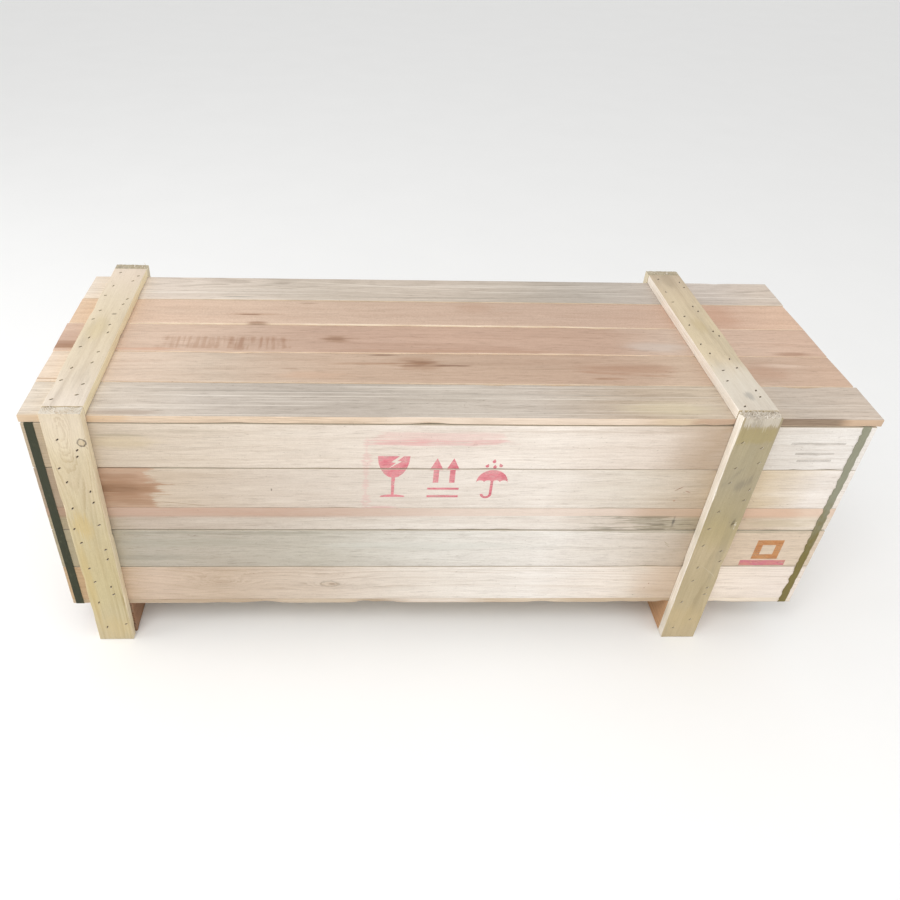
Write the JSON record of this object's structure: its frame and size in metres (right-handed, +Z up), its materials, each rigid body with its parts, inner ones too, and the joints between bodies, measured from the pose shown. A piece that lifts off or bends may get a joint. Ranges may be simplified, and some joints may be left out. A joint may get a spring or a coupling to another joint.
{
  "type": "shipping crate",
  "caption": "Long, low boarded wooden shipping crate on two bearers for forks, with upright battens, plastic strapping round each end and a boarded lid that lifts off.",
  "frame": {"origin": "on the ground, at the middle of the whole crate's length and depth", "axes": "+X along the crate to its right end, +Y from the front wall to the rear wall, +Z up"},
  "size_m": [1.82, 0.656, 0.719],
  "materials": {
    "wall_pine": "sawn, untreated, cream",
    "grey_pine": "sawn, untreated, greyed",
    "pink_pine": "sawn, untreated, pinkish heartwood",
    "batten_pine": "sawn, untreated, straw yellow",
    "inner_pine": "sawn, untreated",
    "bearer_wood": "rough sawn, reddish brown",
    "strap_plastic": "embossed dark green strapping",
    "seal_steel": "pressed strip"
  },
  "bodies": {
    "crate_body": {"bearer_left": "bearer_wood", "bearer_right": "bearer_wood", "floor_board_1": "inner_pine", "floor_board_2": "inner_pine", "floor_board_3": "inner_pine", "floor_board_4": "inner_pine", "floor_board_5": "inner_pine", "front_board_1": "wall_pine", "front_board_2": "grey_pine", "front_board_3": "wall_pine", "front_board_4": "wall_pine", "front_board_5": "wall_pine", "rear_board_1": "wall_pine", "rear_board_2": "grey_pine", "rear_board_3": "wall_pine", "rear_board_4": "wall_pine", "rear_board_5": "wall_pine", "left_end_board_1": "wall_pine", "left_end_board_2": "wall_pine", "left_end_board_3": "wall_pine", "left_end_board_4": "wall_pine", "left_end_board_5": "wall_pine", "right_end_board_1": "wall_pine", "right_end_board_2": "wall_pine", "right_end_board_3": "wall_pine", "right_end_board_4": "wall_pine", "right_end_board_5": "wall_pine", "corner_post_front_left": "inner_pine", "corner_post_rear_left": "inner_pine", "corner_post_front_right": "inner_pine", "corner_post_rear_right": "inner_pine", "end_rail_left": "inner_pine", "end_rail_right": "inner_pine", "batten_front_left": "batten_pine", "batten_rear_left": "batten_pine", "batten_front_right": "batten_pine", "batten_rear_right": "batten_pine", "strap_left": "strap_plastic", "strap_right": "strap_plastic", "strap_seal_left": "seal_steel", "strap_seal_right": "seal_steel"},
    "lid": {"lid_board_1": "grey_pine", "lid_board_2": "pink_pine", "lid_board_3": "pink_pine", "lid_board_4": "wall_pine", "lid_board_5": "grey_pine", "lid_batten_left": "batten_pine", "lid_batten_right": "batten_pine"}
  },
  "joints": [
    {"name": "lid_lift", "type": "slide", "parent": "crate_body", "child": "lid", "axis": [0, 0, 1], "range_m": [0, 0.35]}
  ]
}
